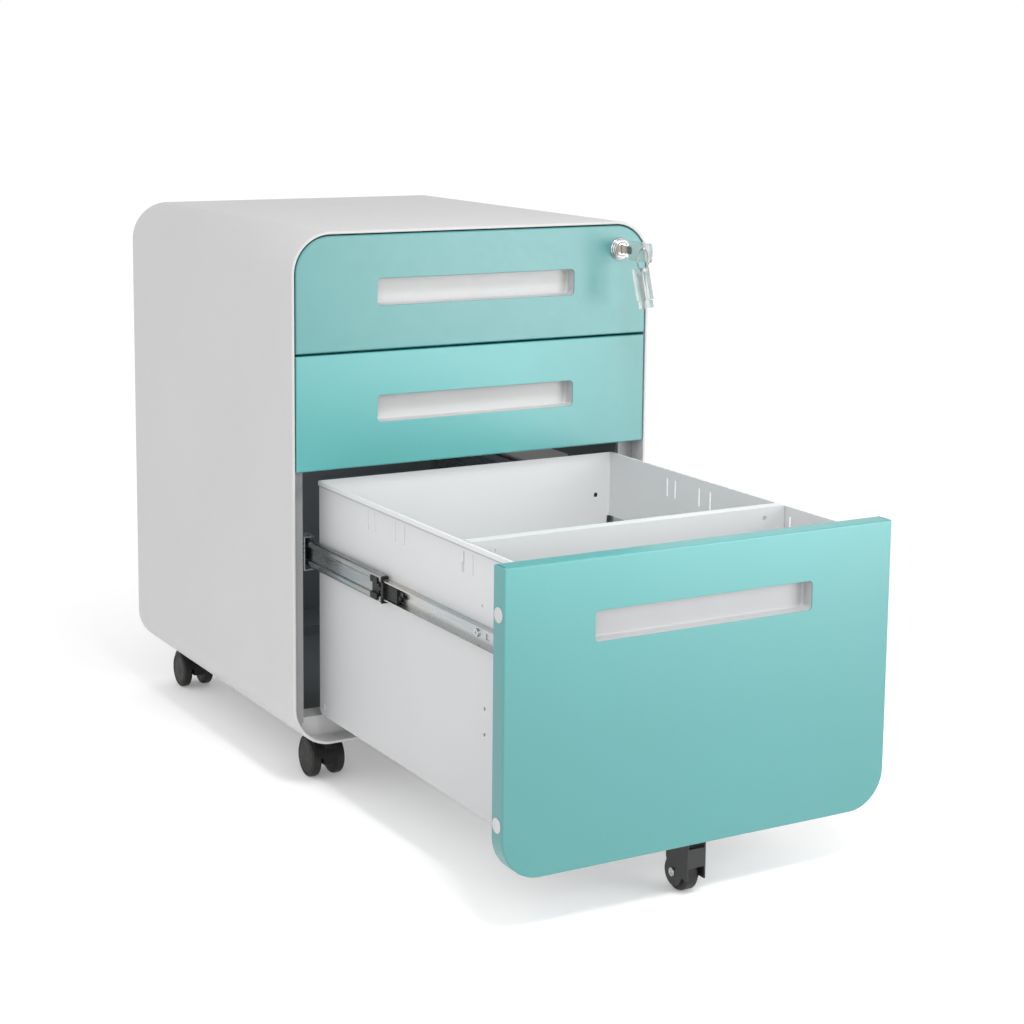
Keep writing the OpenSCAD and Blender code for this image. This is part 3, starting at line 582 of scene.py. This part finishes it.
def pull_cup(name, node, body, place, z0, h, drop):
    """The moulded recess: a flange behind the sheet, walls with a little draft, a filleted floor."""
    zt = z0 + h - drop
    shape = Shape(place)

    def ring(grow, y):
        return shape.ring(outline(-PULL_W / 2 - grow, PULL_W / 2 + grow, zt - PULL_H - grow, zt + grow,
                                  [max(PULL_R + grow, 1.2)] * 4, 0, y, 8))

    y0 = SHEET + 0.02
    floor = y0 + CUP_DEPTH - CUP_T
    fr = 2.2
    draft = 0.25
    inner = [(0, y0)] + arc(-draft - fr, floor - fr, fr, 0, 90, 5)
    outer = [(CUP_T - 0.4, y0 + CUP_DEPTH), (CUP_T, y0 + CUP_DEPTH - 0.6), (CUP_T, y0 + CUP_T)]
    outer += [(PULL_GROW - 0.3, y0 + CUP_T), (PULL_GROW, y0 + CUP_T - 0.3), (PULL_GROW, y0)]
    rings_in = [ring(g, y) for g, y in inner]
    rings_out = [ring(g, y) for g, y in outer]
    shape.chain(rings_in)
    shape.chain(rings_out)
    shape.bridge(rings_out[-1], rings_in[0])
    shape.cap(rings_in[-1])
    shape.cap(rings_out[0])
    piece = shape.make(name)
    stands_for(piece, node, body)


# ---------- slides ----------

def middle_rails():
    """One thin folded channel on each side, with ball races above and below and two windows at the rear."""
    top = [(10.05, 10.9), (10.05, RAIL_HALF), (3.75, RAIL_HALF)]
    top += [(3.75, RACE_HALF + 0.2), (5.95, RACE_HALF - 0.9)]
    bends = [1.6, 2.4, 1.6, 0.8]
    path = rounded(top + [(u, -z) for u, z in reversed(top)], bends + bends[::-1], 5)
    section = thicken(path, WEB_T)
    y0 = RAIL_Y0 + MID_SETBACK - TRAVEL / 2
    y1 = y0 + MID_LEN
    shape = Shape(cab)
    windows = []
    for s in (-1, 1):
        front, rear = [shape.ring([(s * (UPRIGHT_X - p.x), y, FILE_SLIDE_Z + p.y) for p in section])
                       for y in (y0, y1)]
        shape.bridge(front, rear)
        shape.cap(front)
        shape.cap(rear)
        web = sorted((s * (UPRIGHT_X - 8), s * (UPRIGHT_X - 4)))
        for k in (0, 1):
            y = y1 - WINDOW_INSET - WINDOW_PITCH * k
            zr = (FILE_SLIDE_Z - WINDOW_H / 2, FILE_SLIDE_Z + WINDOW_H / 2)
            windows.append(span(cab, web, (y, y + WINDOW_L), zr))
    rails = shape.make("middle_rail_pair")
    carve(rails, windows)
    stands_for(rails, "file_middle_rails", "file_middle_rails")


# ---------- lock ----------

def lock_rosette():
    """Turned housing: three stepped rings with rounded edges, dished towards the plug."""
    profile = [(8.2, 20.6), (8.2, 0.3), (11.3, 0.0)]
    profile += arc(10.5, -1.1, 1.0, 0, -80, 6)
    profile += [(10.35, -1.75), (10.2, -2.6)]
    profile += arc(9.3, -3.1, 0.9, 0, -85, 6)
    profile += [(8.85, -3.7), (8.7, -4.5)]
    profile += arc(7.9, -4.9, 0.7, 0, -100, 6)
    profile += [(7.2, -5.3), (6.7, -4.7), (6.56, -4.3), (6.56, 20.6)]
    shape = Shape(cab)
    circle = arc(0, 0, 1, 0, 360, 72)[:-1]
    rings = [shape.ring([(LOCK_X + r * c, y, LOCK_Z + r * q) for c, q in circle]) for r, y in profile]
    shape.chain(rings, closed=True)
    rosette = shape.make("lock_rosette", weighted=False)
    stands_for(rosette, "lock_housing", "top_drawer")


# ---------- carried-over nodes ----------

# Width of each piece's broken edges, in millimetres.
BEVEL = {
    "file_box": 0.3, "middle_box": 0.3, "top_box": 0.3, "file_divider": 0.45,
    "caster_stems": 0.4, "lock_bar": 0.4, "lock_plug": 0.3, "lock_cam": 0.3,
    "key_head": 0.7, "spare_key_head": 0.8, "key_blade": 0.25, "spare_key_blade": 0.25,
    "file_cabinet_rails": 0.3, "middle_cabinet_rails": 0.3, "top_cabinet_rails": 0.3,
    "file_drawer_rails": 0.3, "middle_drawer_rails": 0.3, "top_drawer_rails": 0.3,
    "file_end_blocks": 0.4, "file_side_buttons": 0.3, "anti_tip_bracket": 0.4, "anti_tip_axle": 0.3,
    "anti_tip_wheel": 0.3, "left_upright": 0.4, "right_upright": 0.4, "floor_pan": 0.5,
    "top_front_rail": 0.5, "bottom_front_rail": 0.5, "back_panel": 0.4, "back_panel_screws": 0.25,
    "caster_nuts": 0.3,
}


def refine(name, obj):
    """Gives a carried-over piece its finish, and its broken edges where it is listed above."""
    for s in obj.material_slots:
        s.material = OWN_FINISH.get(name, FINISH[SLOT[name]]).mat
    width = BEVEL.get(name, 0.5 if name.endswith("hood") else 0)
    if width:
        weld = obj.modifiers.new("weld", "WELD")
        weld.merge_threshold = 0.00002
        flat = obj.modifiers.new("flat", "DECIMATE")
        flat.decimate_type = "DISSOLVE"
        flat.angle_limit = math.radians(0.8)
        edge = obj.modifiers.new("edge", "BEVEL")
        edge.width = width * MM
        edge.segments = 2
        edge.limit_method = "ANGLE"
        edge.angle_limit = math.radians(38)
        edge.use_clamp_overlap = True
        soften(obj.data, 30)
        weigh(obj)
    else:
        soften(obj.data)


# ---------- light, floor and camera ----------

def lamp(name, at, aim, size, power, spread=180):
    """A rectangular softbox in metres and watts, aimed at a point."""
    data = bpy.data.lights.new(name, "AREA")
    data.shape = "RECTANGLE"
    data.spread = math.radians(spread)
    data.size, data.size_y = size
    data.energy = power
    obj = bpy.data.objects.new(name, data)
    bpy.context.scene.collection.objects.link(obj)
    obj.location = at
    obj.rotation_euler = (Vector(aim) - Vector(at)).to_track_quat("-Z", "Y").to_euler()


def build_studio():
    """A pale paper floor, white surroundings and four lamps."""
    bm = bmesh.new()
    bmesh.ops.create_grid(bm, x_segments=8, y_segments=8, size=9)
    mesh = bpy.data.meshes.new("studio_floor")
    bm.to_mesh(mesh)
    bm.free()
    floor = bpy.data.objects.new("studio_floor", mesh)
    bpy.context.scene.collection.objects.link(floor)
    m = Mat("studio_paper", 0.9)
    m.colour(m.noise(3, 2), [(0.3, (0.88, 0.88, 0.88)), (0.7, (0.9, 0.9, 0.9))])
    m.specular(0.1)
    m.shader.inputs["Emission Color"].default_value = (1, 1, 1, 1)
    m.shader.inputs["Emission Strength"].default_value = 0.14
    floor.data.materials.append(m.mat)

    world = bpy.data.worlds.new("studio")
    bpy.context.scene.world = world
    world.use_nodes = True
    back = world.node_tree.nodes["Background"]
    back.inputs["Color"].default_value = (1, 1, 1, 1)
    back.inputs["Strength"].default_value = 1.0
    lamp("key_softbox", (-1.6, -2.3, 1.2), (0.0, -0.1, 0.4), (1.2, 1.2), 13)
    lamp("veil_softbox", (0.98, -1.55, 0.5), (0.05, -0.1, 0.42), (0.85, 0.96), 11)
    lamp("drawer_softbox", (-0.15, -1.0, 1.5), (0.03, -0.2, 0.2), (0.5, 0.5), 1.0, 36)
    lamp("bay_fill", (-0.08, 0.2, 0.3), (0.1, 0.3, 0.1), (0.1, 0.1), 0.3)


CAMERA_AT = (-1.0087, -1.8380, 0.7140)
CAMERA_YAW, CAMERA_PITCH, CAMERA_ROLL = 29.891, 8.678, -0.573
CAMERA_LENS, CAMERA_SHIFT_Y = 74.93, -0.1289


def build_camera():
    """Studio camera that looks a little down and in from the left, with its lens shifted for the framing."""
    yaw, pitch, roll = (math.radians(a) for a in (CAMERA_YAW, CAMERA_PITCH, CAMERA_ROLL))
    ahead = Vector((math.sin(yaw) * math.cos(pitch), math.cos(yaw) * math.cos(pitch), -math.sin(pitch)))
    right = Vector((math.cos(yaw), -math.sin(yaw), 0))
    down = ahead.cross(right)
    x_axis = math.cos(roll) * right + math.sin(roll) * down
    y_axis = math.sin(roll) * right - math.cos(roll) * down
    data = bpy.data.cameras.new("camera")
    data.sensor_width = 36
    data.lens = CAMERA_LENS
    data.shift_y = CAMERA_SHIFT_Y
    data.clip_start, data.clip_end = 0.05, 60
    cam = bpy.data.objects.new("camera", data)
    bpy.context.scene.collection.objects.link(cam)
    matrix = cam.matrix_world.copy()
    for row in range(3):
        matrix[row][0], matrix[row][1], matrix[row][2] = x_axis[row], y_axis[row], -ahead[row]
        matrix[row][3] = CAMERA_AT[row]
    cam.matrix_world = matrix
    bpy.context.scene.camera = cam


# ---------- making ----------

build_shell()
front_piece("file_front_pan", "file_front", "file_drawer", drawn,
            FILE_Z, FILE_H, FRONT_R, EDGE_R, FILE_DROP, slits=True)
front_piece("middle_front_pan", "middle_front", "middle_drawer", cab,
            MIDDLE_Z, BOX_H, EDGE_R, EDGE_R, BOX_DROP)
front_piece("top_front_pan", "top_front", "top_drawer", cab, TOP_Z, BOX_H, EDGE_R, FRONT_R, BOX_DROP)
pull_cup("file_cup", "file_pull_cup", "file_drawer", drawn, FILE_Z, FILE_H, FILE_DROP)
pull_cup("middle_cup", "middle_pull_cup", "middle_drawer", cab, MIDDLE_Z, BOX_H, BOX_DROP)
pull_cup("top_cup", "top_pull_cup", "top_drawer", cab, TOP_Z, BOX_H, BOX_DROP)
middle_rails()
lock_rosette()
for node_name, node_obj in frame["nodes"].items():
    if not node_obj.hide_render:
        refine(node_name, node_obj)
build_studio()
build_camera()
bpy.context.scene.view_settings.view_transform = "Standard"
